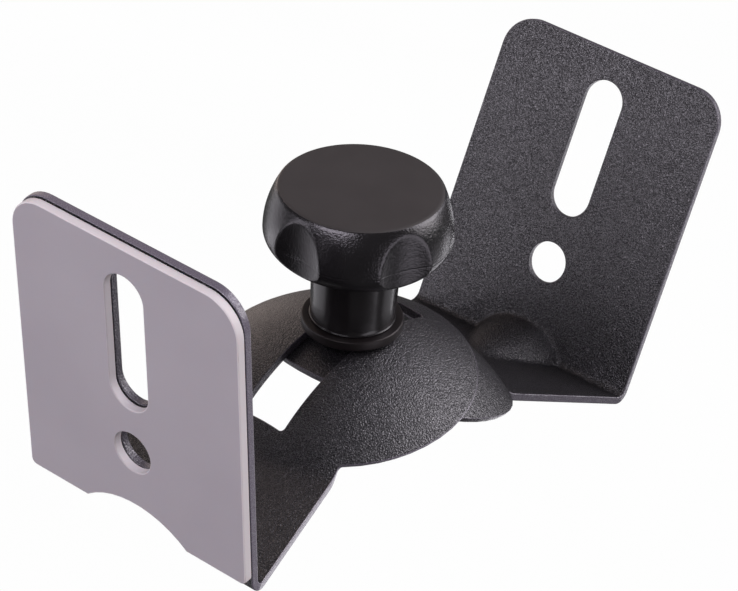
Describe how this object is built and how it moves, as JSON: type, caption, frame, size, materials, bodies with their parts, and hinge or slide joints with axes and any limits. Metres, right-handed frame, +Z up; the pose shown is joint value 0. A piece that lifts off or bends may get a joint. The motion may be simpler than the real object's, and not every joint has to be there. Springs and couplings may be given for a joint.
{
  "type": "speaker wall bracket",
  "caption": "Tilting and swivelling speaker wall bracket: two folded sheet-metal brackets with slotted nested domes, clamped by a hand knob; padded speaker plate.",
  "frame": {"origin": "centre of the round hole in the wall plate, on the plate's outer face, which lies on the wall", "axes": "+X out of the wall into the room, +Z up the wall, +Y along the wall"},
  "size_m": [0.1907, 0.0721, 0.1172],
  "materials": {
    "powder_coat": "fine-grained semi-gloss black powder coat",
    "grey_pad": "smooth matte light grey",
    "zinc_steel": "zinc plated",
    "washer_plastic": "smooth matte black",
    "knob_plastic": "glossy black with a fine spark-eroded grain",
    "insert_brass": "turned"
  },
  "bodies": {
    "wall_arm": {"wall_bracket": "powder_coat"},
    "clamp": {"clamp_bolt": "zinc_steel", "clamp_plate": "zinc_steel"},
    "seat": {"seat_washer": "washer_plastic"},
    "speaker_arm": {"speaker_bracket": "powder_coat", "speaker_pad": "grey_pad"},
    "knob": {"hand_knob": "knob_plastic", "knob_insert": "insert_brass"}
  },
  "joints": [
    {"name": "bolt_tilt", "type": "hinge", "parent": "wall_arm", "child": "clamp", "pos_m": [0.0707, 0, -0.0584], "axis": [0, 1, 0], "range_deg": [-22.5, 1.5]},
    {"name": "swivel", "type": "hinge", "parent": "clamp", "child": "seat", "pos_m": [0.0707, 0, -0.0584], "axis": [0.3891, -0.0194, 0.921], "range_deg": [-60, 60]},
    {"name": "speaker_tilt", "type": "hinge", "parent": "seat", "child": "speaker_arm", "pos_m": [0.0707, 0, -0.0584], "axis": [0.0505, 0.9987, -0.0003], "range_deg": [-5.5, 18]},
    {"name": "knob_turn", "type": "hinge", "parent": "clamp", "child": "knob", "pos_m": [0.0707, 0, -0.0584], "axis": [0.3891, -0.0194, 0.921], "continuous": true}
  ]
}
